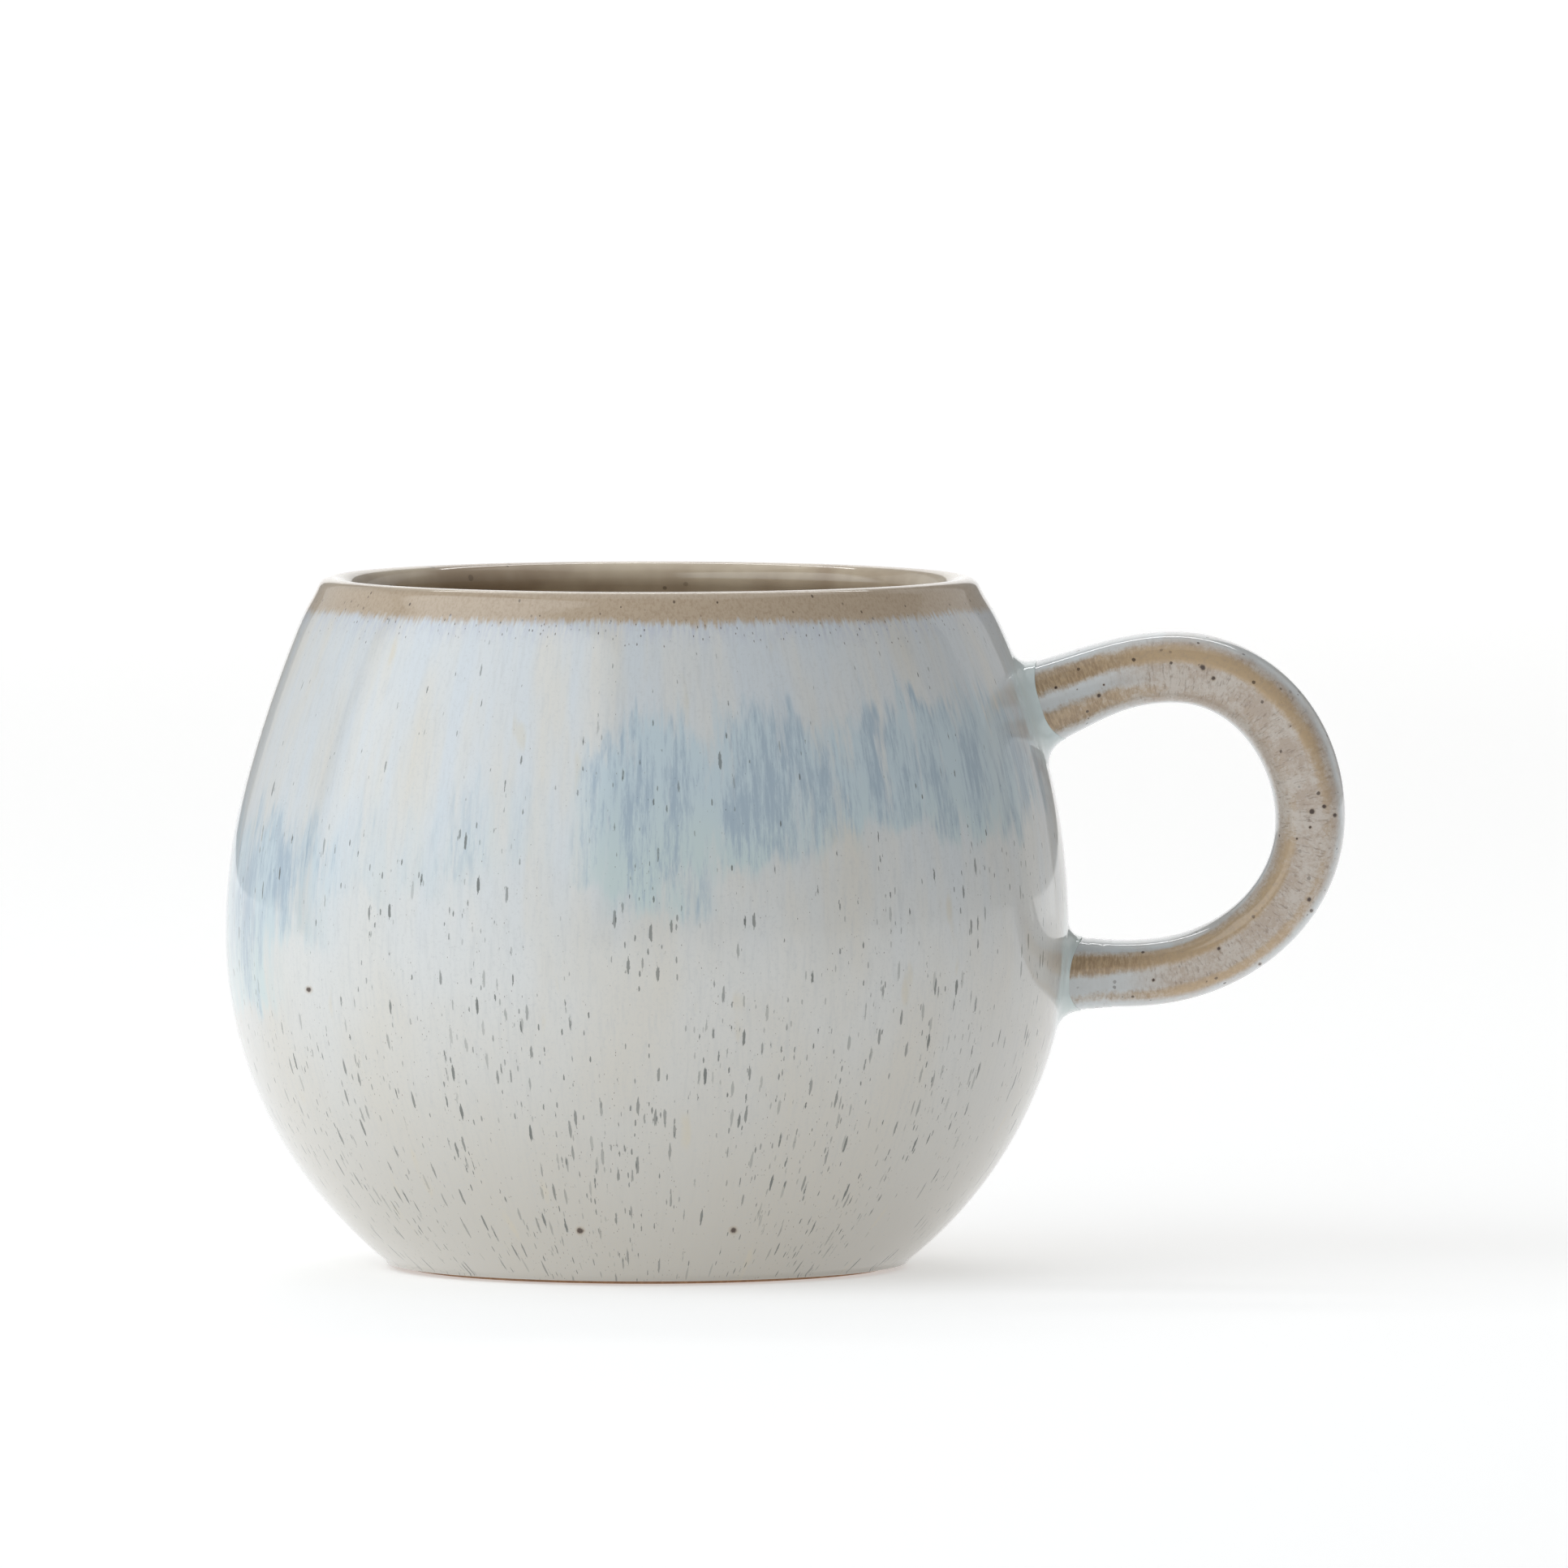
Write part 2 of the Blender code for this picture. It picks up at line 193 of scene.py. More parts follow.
def from_rings(name, rings, loop=False):
    """A mesh through rings of equal length. With loop, the last ring also joins the first."""
    rings = np.asarray(rings)
    count, around = rings.shape[:2]
    here = np.arange(count if loop else count - 1)[:, None] * around
    step = np.arange(around)[None, :]
    after = (step + 1) % around
    there = (here + around) % (count * around)
    faces = np.stack([here + step, here + after, there + after, there + step], axis=-1)
    faces = faces.reshape(-1, 4).tolist()
    if not loop:
        faces.append(list(range(around))[::-1])
        faces.append(list(range((count - 1) * around, count * around)))
    mesh = bpy.data.meshes.new(name)
    mesh.from_pydata(rings.reshape(-1, 3).tolist(), [], faces)
    cage = bmesh.new()
    cage.from_mesh(mesh)
    bmesh.ops.remove_doubles(cage, verts=cage.verts, dist=MERGE)
    cage.to_mesh(mesh)
    cage.free()
    mesh.shade_smooth()
    mesh.set_sharp_from_angle(angle=SHARP)
    piece = bpy.data.objects.new(name, mesh)
    bpy.context.scene.collection.objects.link(piece)
    return piece


def spin(section, around=AROUND):
    """Round rings from a section's (radius, height) points, clockwise seen from above."""
    angle = -2 * np.pi * np.arange(around) / around
    radius, height = np.asarray(section)[:, :1], np.asarray(section)[:, 1:]
    x = radius * np.cos(angle)
    y = radius * np.sin(angle)
    return np.stack([x, y, np.broadcast_to(height, x.shape)], axis=-1)


# %% [markdown]
# ## The floor
#
# The mug stands on a wide pale sheet, as in a product studio. Behind the mug the sheet narrows
# and curves up, without a corner, so floor and background run into one another. Outside that
# narrow wall the room stays darker, which draws a thin line round the edge of the glossy glaze.

# %% Floor sheet
FLOOR_FRONT = -4.0
FLOOR_HALF = 4.0
NARROWS_FROM = 1.5
WALL_HALF = 0.8
BEND_START = 2.8
BEND = 0.8
BEND_ROWS = 12
WALL_TOP = 4.0
FLOOR_DROP = 0.1 * MM


def floor_sheet():
    """A flat sheet that narrows and bends up behind the mug."""
    rows = [(FLOOR_FRONT, 0.0, FLOOR_HALF), (NARROWS_FROM, 0.0, FLOOR_HALF)]
    rows.append((BEND_START, 0.0, WALL_HALF))
    for tick in range(1, BEND_ROWS + 1):
        lift = math.pi / 2 * tick / BEND_ROWS
        rows.append((BEND_START + BEND * math.sin(lift), BEND * (1 - math.cos(lift)), WALL_HALF))
    rows.append((BEND_START + BEND, WALL_TOP, WALL_HALF))
    points = [(side * half, y, z) for y, z, half in rows for side in (-1, 1)]
    faces = [(row, row + 1, row + 3, row + 2) for row in range(0, len(points) - 2, 2)]
    mesh = bpy.data.meshes.new("floor")
    mesh.from_pydata(points, [], faces)
    mesh.shade_smooth()
    sheet = bpy.data.objects.new("floor", mesh)
    bpy.context.scene.collection.objects.link(sheet)
    sheet.location.z = -FLOOR_DROP
    return sheet


floor = floor_sheet()
print("a floor with", len(floor.data.polygons), "faces")

# %% [markdown]
# ## The cup's section
#
# A thrown ball mug is two arcs in section. The shoulder's arc leaves the belly upright and leans
# in to the lip, and the bowl's arc runs down to the foot. The inside follows both at the wall's
# thickness and ends in a rounded floor. Each function takes a depth below the finished surface,
# so the same lines give the face of a glaze and the clay under it.

# %% Lines of the section
BELLY_HEIGHT = 40.5 * MM
LIP_RADIUS = 40.7 * MM
FOOT_RADIUS = 30.6 * MM
FLOOR_HEIGHT = 8.2 * MM
FLOOR_FILLET = 18 * MM
CLAY_DEPTH = 0.7 * MM
BARE_FOOT = 0.45 * MM
SEAM_DROP = 1.5 * MM


def arc_centre(at_belly, at_end, rise):
    """How far from the axis the arc is centred that leaves the belly upright."""
    return (at_belly**2 - at_end**2 - rise**2) / (2 * (at_belly - at_end))


LIP_ROUND = WALL / 2
LIP_Z = HEIGHT - LIP_ROUND
SHOULDER_X = arc_centre(BELLY_RADIUS - LIP_ROUND, LIP_RADIUS - LIP_ROUND, LIP_Z - BELLY_HEIGHT)
SHOULDER_ARC = BELLY_RADIUS - SHOULDER_X
BOWL_X = arc_centre(BELLY_RADIUS, FOOT_RADIUS, BELLY_HEIGHT)
BOWL_ARC = BELLY_RADIUS - BOWL_X
LIP_TILT = math.asin((LIP_Z - BELLY_HEIGHT) / (SHOULDER_ARC - LIP_ROUND))
FILLET_ARC = BOWL_ARC - WALL - FLOOR_FILLET
FILLET_TILT = math.asin((BELLY_HEIGHT - FLOOR_HEIGHT - FLOOR_FILLET) / FILLET_ARC)
FILLET_X = BOWL_X + FILLET_ARC * math.cos(FILLET_TILT)
SEAM_TILT = LIP_TILT - SEAM_DROP / SHOULDER_ARC


def arc(centre, radius, start, end, count):
    """Evenly spaced (radius, height) points on an arc of the section."""
    angle = np.linspace(start, end, count)
    return np.stack([centre[0] + radius * np.cos(angle), centre[1] + radius * np.sin(angle)], axis=1)


def inside_line(depth):
    """From the middle of the floor up the inside to the lip."""
    bottom = [(0.0, FLOOR_HEIGHT - depth), (FILLET_X / 2, FLOOR_HEIGHT - depth)]
    fillet = arc((FILLET_X, FLOOR_HEIGHT + FLOOR_FILLET), FLOOR_FILLET + depth,
                 -math.pi / 2, -FILLET_TILT, 16)
    bowl = arc((BOWL_X, BELLY_HEIGHT), BOWL_ARC - WALL + depth, -FILLET_TILT, 0, 22)
    shoulder = arc((SHOULDER_X, BELLY_HEIGHT), SHOULDER_ARC - WALL + depth, 0, LIP_TILT, 36)
    return np.concatenate([bottom, fillet, bowl[1:], shoulder[1:]])


def lip_line(depth):
    """Over the rounded lip, from the inside to the outside."""
    middle = SHOULDER_ARC - LIP_ROUND
    centre = (SHOULDER_X + middle * math.cos(LIP_TILT), LIP_Z)
    return arc(centre, LIP_ROUND - depth, LIP_TILT + math.pi, LIP_TILT, 25)[1:]


def shoulder_line(depth, start, end, count):
    """Down the outside above the belly, between two tilts of its arc."""
    return arc((SHOULDER_X, BELLY_HEIGHT), SHOULDER_ARC - depth, start, end, count)


def bowl_line(depth, end_height, count=64):
    """Down the outside below the belly to a height."""
    radius = BOWL_ARC - depth
    end = -math.asin((BELLY_HEIGHT - end_height) / radius)
    return arc((BOWL_X, BELLY_HEIGHT), radius, 0, end, count)


def outside_radius(height):
    """The finished outside's distance from the axis at a height."""
    high = SHOULDER_X + np.sqrt(SHOULDER_ARC**2 - (height - BELLY_HEIGHT)**2)
    low = BOWL_X + np.sqrt(BOWL_ARC**2 - (height - BELLY_HEIGHT)**2)
    return np.where(height >= BELLY_HEIGHT, high, low)


print(f"the shoulder's arc is {SHOULDER_ARC / MM:.1f} mm and the bowl's {BOWL_ARC / MM:.1f} mm")

# %% [markdown]
# ## The hand in it
#
# A wheel leaves fine lines, and drying pulls a round form a little out of true. This cup leans in
# on the side away from its handle, just under the lip. The numbers are small, under a millimetre,
# and always point inwards, so the mug stays inside its design. They matter because reflections
# on a glossy wall show them at once.

# %% Make a surface uneven
LEAN_HEIGHT = 70 * MM
LEAN_SPREAD = 11 * MM
LEAN = 0.80 * MM
LIP_EASE = 0.25 * MM
EASE_DROP = 1.6 * MM
EASE_SPREAD = 1.4 * MM
THROWING_LINE = 0.030 * MM
LINES_PER_METRE = 320
UNDULATION = 0.10 * MM
WAVES_PER_METRE = 38


def by_hand(rings):
    """Moves points on the cup towards its axis by a small uneven amount."""
    rings = np.array(rings)
    x, y, z = rings[..., 0], rings[..., 1], rings[..., 2]
    radius = np.maximum(np.hypot(x, y), 1e-9)
    away = np.clip(-x / radius, 0, 1)
    points = rings.reshape(-1, 3).tolist()
    drift = [noise.noise(Vector(point) * WAVES_PER_METRE) for point in points]
    drift = np.array(drift).reshape(x.shape)
    lines = [noise.noise(Vector((2.5, 0, point[2] * LINES_PER_METRE))) for point in points]
    lines = np.array(lines).reshape(x.shape)
    inward = LEAN * away**1.5 * np.exp(-0.5 * ((z - LEAN_HEIGHT) / LEAN_SPREAD)**2)
    inward += LIP_EASE * np.exp(-0.5 * ((z - HEIGHT + EASE_DROP) / EASE_SPREAD)**2)
    inward += UNDULATION * (0.5 + 0.5 * drift) + THROWING_LINE * (0.5 + 0.5 * lines)
    inward *= np.clip(radius / (15 * MM), 0, 1) * np.clip(z / (6 * MM), 0.15, 1)
    rings[..., 0] -= x / radius * inward
    rings[..., 1] -= y / radius * inward
    return rings


def on_axis(rings):
    """Moves rings made about the cup's own axis to where that axis stands."""
    return rings + np.array([AXIS_X, 0, 0])


# %% [markdown]
# ## The turned pieces
#
# The clay cup shows only at its foot, a narrow ring of bare brown stoneware, yet it is made
# whole. The outer glaze and the liner glaze are shells with a face and a back. They meet in a
# line under the lip that both finishes hide, because the colour there is the same tan on both.

# %% Clay cup
RING_OUTER = 29.6 * MM
RING_INNER = 24.6 * MM
RECESS = 2.4 * MM
SOFT_EDGE = 0.5 * MM


def foot_line():
    """Under the clay foot: a soft-edged ring, the slope of the recess and its flat top."""
    outer = arc((RING_OUTER - SOFT_EDGE, SOFT_EDGE), SOFT_EDGE, 0, -math.pi / 2, 6)
    inner = arc((RING_INNER + SOFT_EDGE, SOFT_EDGE), SOFT_EDGE, -math.pi / 2, -math.pi, 6)
    recess = arc((RING_INNER - 2.6 * MM, RECESS - 1.6 * MM), 1.6 * MM, 0, math.pi / 2, 6)
    middle = np.array([(RING_INNER / 2, RECESS), (0.0, RECESS)])
    return np.concatenate([outer, inner, recess, middle])


clay_section = np.concatenate([
    inside_line(CLAY_DEPTH), lip_line(CLAY_DEPTH),
    shoulder_line(CLAY_DEPTH, LIP_TILT, 0, 30)[1:],
    bowl_line(CLAY_DEPTH, 0.6 * MM, 40)[1:], foot_line(),
])
clay_cup = from_rings("clay_cup", on_axis(by_hand(spin(clay_section, 192))))
print("clay cup with", len(clay_cup.data.polygons), "faces")

# %% Outer glaze
def glaze_edge():
    """The rolled lower edge of the glaze, where it stops just above the foot."""
    height = BARE_FOOT + CLAY_DEPTH / 2
    centre = (float(outside_radius(height)) - CLAY_DEPTH / 2, height)
    return arc(centre, CLAY_DEPTH / 2, -math.radians(42), -math.radians(200), 9)


outer_face = np.concatenate([
    shoulder_line(0, SEAM_TILT, 0, 60), bowl_line(0, BARE_FOOT + CLAY_DEPTH / 2)[1:], glaze_edge(),
])
outer_back = np.concatenate([
    bowl_line(CLAY_DEPTH, BARE_FOOT + CLAY_DEPTH, 24)[::-1],
    shoulder_line(CLAY_DEPTH, 0, SEAM_TILT, 24)[1:],
])
outer_rings = on_axis(by_hand(spin(np.concatenate([outer_face, outer_back]))))
outer_glaze = from_rings("glaze_outside", outer_rings, loop=True)
print("outer glaze with", len(outer_glaze.data.polygons), "faces")

# %% Liner glaze
liner_face = np.concatenate([
    inside_line(0), lip_line(0), shoulder_line(0, LIP_TILT, SEAM_TILT, 4)[1:],
])
liner_back = np.concatenate([
    shoulder_line(CLAY_DEPTH, SEAM_TILT, LIP_TILT, 3), lip_line(CLAY_DEPTH)[::-1],
    inside_line(CLAY_DEPTH)[::-1],
])
liner_rings = on_axis(by_hand(spin(np.concatenate([liner_face, liner_back]))))
liner_glaze = from_rings("glaze_liner", liner_rings)
print("liner glaze with", len(liner_glaze.data.polygons), "faces")

# %% Underside glaze
def disc_line(radius, top, thickness):
    """A thin disc with a round edge, from the middle of its top to the middle below."""
    edge = arc((radius - thickness / 2, top - thickness / 2), thickness / 2,
               math.pi / 2, -math.pi / 2, 7)
    return np.concatenate([[(0.0, top)], edge, [(0.0, top - thickness)]])


under_disc = disc_line(RING_INNER - 2.4 * MM, RECESS, COAT)
under_glaze = from_rings("glaze_underside", on_axis(spin(under_disc, 144)))
print("underside glaze with", len(under_glaze.data.polygons), "faces")

# %% [markdown]
# ## The handle's line
#
# The handle was pulled from a lump of clay, cut off and bent into an ear. Its middle line leaves
# the shoulder on a short straight stretch, bends level, turns round two quarters of an ellipse
# and runs level back into the cup. Smoothing the whole line a little gives the springy curve
# that wet clay takes. Each place on it has a distance along and a thickness.

# %% Middle line of the handle
UPPER_ROOT_Z = HEIGHT - 15.7 * MM
LOWER_ROOT_Z = 35.4 * MM
SPUR = 8 * MM
SPUR_BEND = 26 * MM
UPPER_TILT = math.asin((UPPER_ROOT_Z - BELLY_HEIGHT) / SHOULDER_ARC) + math.radians(4)
THICKNESS = 8.6 * MM
GRIP = 0.90
GRIP_Z = (UPPER_ROOT_Z + LOWER_ROOT_Z) / 2 + 2.5 * MM
GRIP_X = HANDLE_REACH - GRIP * THICKNESS / 2
UPPER_START = np.array([float(outside_radius(UPPER_ROOT_Z)), UPPER_ROOT_Z])
UPPER_WAY = np.array([math.cos(UPPER_TILT), math.sin(UPPER_TILT)])
LOWER_START = np.array([float(outside_radius(LOWER_ROOT_Z)), LOWER_ROOT_Z])
LOWER_WAY = np.array([1.0, 0.0])


def ellipse(centre, reach, start, end, count):
    """Points on part of an ellipse, from one angle to another."""
    angle = np.linspace(start, end, count)
    return np.stack([centre[0] + reach[0] * np.cos(angle), centre[1] + reach[1] * np.sin(angle)], 1)


spur_end = UPPER_START + UPPER_WAY * SPUR
crown = spur_end + SPUR_BEND * np.array([math.sin(UPPER_TILT), 1 - math.cos(UPPER_TILT)])
heel = LOWER_START + LOWER_WAY * SPUR
rough_line = np.concatenate([
    UPPER_START + np.outer(np.linspace(-4 * MM, SPUR, 60), UPPER_WAY),
    ellipse(crown - (0, SPUR_BEND), (SPUR_BEND, SPUR_BEND),
            math.pi / 2 + UPPER_TILT, math.pi / 2, 20)[1:],
    ellipse((crown[0], GRIP_Z), (GRIP_X - crown[0], crown[1] - GRIP_Z), math.pi / 2, 0, 90)[1:],
    ellipse((heel[0], GRIP_Z), (GRIP_X - heel[0], GRIP_Z - heel[1]), 0, -math.pi / 2, 90)[1:],
    LOWER_START + np.outer(np.linspace(SPUR, -4 * MM, 60)[1:], LOWER_WAY),
])


def distances(line):
    """How far each point is along a line."""
    return np.concatenate([[0], np.cumsum(np.hypot(*np.diff(line, axis=0).T))])


STEP = 0.45 * MM
rough_length = distances(rough_line)
even = np.arange(0, rough_length[-1], STEP)
even_line = np.stack([np.interp(even, rough_length, rough_line[:, i]) for i in (0, 1)], axis=1)
reach = np.arange(-12, 13)
weight = np.exp(-0.5 * (reach / 5)**2)
padded = np.concatenate([
    even_line[0] + np.outer(reach[:12], even_line[1] - even_line[0]), even_line,
    even_line[-1] + np.outer(reach[13:], even_line[-1] - even_line[-2]),
])
weight /= weight.sum()
smoothed = [np.convolve(padded[:, i], weight, "valid") for i in (0, 1)]
middle_line = np.stack(smoothed, axis=1)
way = np.gradient(middle_line, axis=0)
way /= np.hypot(*way.T)[:, None]
outward = np.stack([-way[:, 1], way[:, 0]], axis=1)
along = distances(middle_line) - 4 * MM
HANDLE_LENGTH = along[-1] - 4 * MM
print(f"the handle is {HANDLE_LENGTH / MM:.0f} mm long on its middle line")

# %% Thickness and ridges of the handle
SCALE_AT = np.array([0, 8, 18, 34, 62, 92, HANDLE_LENGTH / MM - 8, HANDLE_LENGTH / MM]) * MM
SCALE = np.array([1.24, 1.00, 1.00, 1.03, 0.91, 0.96, 1.00, 1.14])
RIDGE_RISE = 0.32 * MM


def soft_interp(at, places, values):
    """Values along the handle, joined without corners."""
    spread = np.linspace(-5 * MM, 5 * MM, 11)
    return np.mean([np.interp(at + shift, places, values) for shift in spread], axis=0)


# Middle and half width of each ridge across the handle (-1 inside, +1 outside), and its strength
RIDGE_AT = np.array([0, 8, 20, 35, 46, 60, 74, 88, HANDLE_LENGTH / MM]) * MM
OUTER_RIDGE = (
    np.array([0.50, 0.50, 0.42, 0.42, 0.50, 0.60, 0.62, 0.62, 0.70]),
    np.array([0.38, 0.32, 0.28, 0.26, 0.20, 0.22, 0.22, 0.22, 0.22]),
    np.array([1.00, 1.00, 1.00, 0.90, 0.35, 0.90, 0.80, 0.35, 0.60]),
)
INNER_RIDGE = (
    np.array([-0.45, -0.52, -0.60, -0.60, -0.60, -0.58, -0.48, -0.28, -0.20]),
    np.array([0.40, 0.34, 0.30, 0.28, 0.28, 0.30, 0.34, 0.36, 0.38]),
    np.array([1.00, 1.00, 0.25, 0.20, 0.60, 0.95, 1.00, 1.00, 1.00]),
)


def ridge(at, across, table):
    """How strongly one ridge stands at a place along and across the handle, from 0 to 1."""
    middle, half, strength = (soft_interp(at, RIDGE_AT, column) for column in table)
    away = (across - middle) / half
    return strength * np.exp(-np.abs(away)**3)


print("two ridges run along each side of the handle")

# %% Points on the handle
WIDTH = 11.8 * MM
SQUARENESS = 2.6
SIDES = 88
TURN = -2 * np.pi * np.arange(SIDES) / SIDES


def oval(turn):
    """Places on a soft-cornered oval of unit size: across, from inside to outside, and sideways."""
    across = np.sign(np.cos(turn)) * np.abs(np.cos(turn))**(2 / SQUARENESS)
    sideways = np.sign(np.sin(turn)) * np.abs(np.sin(turn))**(2 / SQUARENESS)
    return across, sideways


def ridges(at, turn):
    """Both ridges together. The far side of the handle has them a little further along."""
    across, sideways = oval(turn)
    shifted = at + 3 * MM * (sideways > 0)
    total = ridge(shifted, across, OUTER_RIDGE) + ridge(shifted, across, INNER_RIDGE)
    return np.clip(total, 0, 1) * np.abs(sideways)


def handle_points(at, turn, depth=0.0):
    """Points at distances along the handle and angles round it, at a depth under the surface."""
    at, turn = np.broadcast_arrays(at, turn)
    across, sideways = oval(turn)
    scale = soft_interp(at, SCALE_AT, SCALE)
    fall = RIDGE_RISE * (1 - ridges(at, turn)) * np.abs(sideways)**2
    out = across * (THICKNESS / 2 * scale - depth)
    side = sideways * (WIDTH / 2 * scale - fall - depth)
    x = np.interp(at, along, middle_line[:, 0]) + out * np.interp(at, along, outward[:, 0])
    z = np.interp(at, along, middle_line[:, 1]) + out * np.interp(at, along, outward[:, 1])
    return np.stack([x, side, z], axis=-1)


def meet_cup(at_end, towards, turn, depth, sunk):
    """Where lines along the handle's surface meet the cup, sunk a little way into it."""
    near = np.full(turn.shape, -3.5 * MM)
    far = np.full(turn.shape, 5.0 * MM)
    for _ in range(30):
        middle = (near + far) / 2
        points = handle_points(at_end + towards * middle, turn, depth)
        above = np.hypot(points[..., 0], points[..., 1]) - outside_radius(points[..., 2])
        near = np.where(above < -sunk, middle, near)
        far = np.where(above < -sunk, far, middle)
    return at_end + towards * middle


def handle_tube(depth, sunk, count):
    """Rings along the whole handle, from the cup back to the cup."""
    start = meet_cup(0.0, 1, TURN, depth, sunk)
    end = meet_cup(HANDLE_LENGTH, -1, TURN, depth, sunk)
    share = np.linspace(0, 1, count)[:, None]
    at = start[None, :] * (1 - share) + end[None, :] * share
    return handle_points(at, TURN[None, :], depth), at


def keep_number(piece, name, numbers):
    """Stores one number per point on a piece, for its material to read."""
    attribute = piece.data.attributes.new(name, "FLOAT", "POINT")
    attribute.data.foreach_set("value", np.ravel(numbers))


# %% [markdown]
# ## The handle's two pieces
#
# Under the glaze is the clay strap, a closed tube between the two places where it meets the cup.
# The glaze is a sleeve with a face and a back. Each of its points also stores how strongly it
# lies on a ridge, because glaze runs off a ridge while it melts and shows the tan clay colour
# there, and how far it is along and across the handle.

# %% Clay strap and its glaze
strap_rings, _ = handle_tube(CLAY_DEPTH, CLAY_DEPTH, 150)
clay_strap = from_rings("clay_strap", on_axis(strap_rings))

sleeve_face, face_at = handle_tube(0.0, 0.4 * MM, 300)
sleeve_back, back_at = handle_tube(CLAY_DEPTH, 0.4 * MM, 150)
sleeve_rings = np.concatenate([sleeve_face, sleeve_back[::-1]])
handle_glaze = from_rings("glaze_handle", on_axis(sleeve_rings), loop=True)
sleeve_at = np.concatenate([face_at, back_at[::-1]])
keep_number(handle_glaze, "along", sleeve_at / HANDLE_LENGTH)
keep_number(handle_glaze, "across", np.broadcast_to(oval(TURN)[0], sleeve_at.shape))
keep_number(handle_glaze, "ridge", ridges(sleeve_at, np.broadcast_to(TURN, sleeve_at.shape)))
print("handle glaze with", len(handle_glaze.data.polygons), "faces")

# %% [markdown]
# ## Where the handle joins
#
# The potter presses the strap on with soft clay and wipes the corner round, and the glaze pools
# there. Each joint is a ring with a hollow curve in front, from the cup's wall to the handle,
# and a small crisp roll of glaze on the handle's side. The curve is wider in the crotch under
# the finger hole than at the sides.

# %% Joint rings
ROLL = 0.14 * MM


def round_the_joint(outer, side, inner):
    """A size that differs on the outer side, the flat sides and the finger side of a joint."""
    out = np.clip(np.cos(TURN), 0, 1)**2
    hole = np.clip(-np.cos(TURN), 0, 1)**2
    return side + (outer - side) * out + (inner - side) * hole


def joint_rings(at_end, towards, spread, rise):
    """A closed ring: its hollow front, the roll at its edge, and a back on both surfaces."""
    corner = meet_cup(at_end, towards, TURN, -ROLL, 0.0)
    on_cup = handle_points(meet_cup(at_end, towards, TURN, -spread, 0.03 * MM), TURN, -spread)
    in_corner = handle_points(corner, TURN, -ROLL)
    on_handle = handle_points(corner + towards * rise, TURN, -ROLL)
    share = np.linspace(0, 1, 18)[:, None, None]
    front = on_cup * (1 - share)**2 + 2 * in_corner * share * (1 - share) + on_handle * share**2
    roll = [handle_points(corner + towards * (rise + 0.07 * MM), TURN, -0.6 * ROLL),
            handle_points(corner + towards * (rise + 0.08 * MM), TURN, 0.1 * MM)]
    deep_corner = handle_points(meet_cup(at_end, towards, TURN, 0.1 * MM, 0.3 * MM), TURN, 0.1 * MM)
    deep_edge = handle_points(meet_cup(at_end, towards, TURN, -spread, 0.3 * MM), TURN, -spread)
    rings = np.stack([*front, *roll, deep_corner, deep_edge])
    return by_hand(rings if towards > 0 else rings[:, ::-1])


upper_spread = round_the_joint(2.2 * MM, 3.0 * MM, 2.8 * MM)
upper_rise = round_the_joint(2.2 * MM, 1.4 * MM, 2.8 * MM)
upper_rings = joint_rings(0.0, 1, upper_spread, upper_rise)
upper_joint = from_rings("upper_joint_pool", on_axis(upper_rings), loop=True)

lower_spread = round_the_joint(2.4 * MM, 2.6 * MM, 2.2 * MM)
lower_rise = round_the_joint(2.4 * MM, 0.6 * MM, 1.6 * MM)
lower_rings = joint_rings(HANDLE_LENGTH, -1, lower_spread, lower_rise)
lower_joint = from_rings("lower_joint_pool", on_axis(lower_rings), loop=True)
print("two joint rings with", len(upper_joint.data.polygons), "faces each")

# %% [markdown]
# ## Writing a finish
#
# A material in Blender is a small program made of nodes. To keep it readable, the class below
# wraps one socket, so that 1 - mask or height * 2 adds the Math node for it. The second class is
# one material: it has a method that adds any other node, with its settings first and then the
# values or links of its sockets.

# %% Sockets that can be added and multiplied
class Flow:
    """A number that changes over a surface."""

    def __init__(self, finish, socket):
        self.finish = finish
        self.socket = socket

    def maths(self, operation, first, second=0.0):
        return self.finish.add("Math", {"operation": operation}, {0: first, 1: second})

    def __add__(self, other):
        return self.maths("ADD", self, other)

    def __radd__(self, other):
        return self.maths("ADD", other, self)

    def __sub__(self, other):
        return self.maths("SUBTRACT", self, other)

    def __rsub__(self, other):
        return self.maths("SUBTRACT", other, self)

    def __mul__(self, other):
        return self.maths("MULTIPLY", self, other)

    def __rmul__(self, other):
        return self.maths("MULTIPLY", other, self)

    def __truediv__(self, other):
        return self.maths("DIVIDE", self, other)

    def __pow__(self, other):
        return self.maths("POWER", self, other)


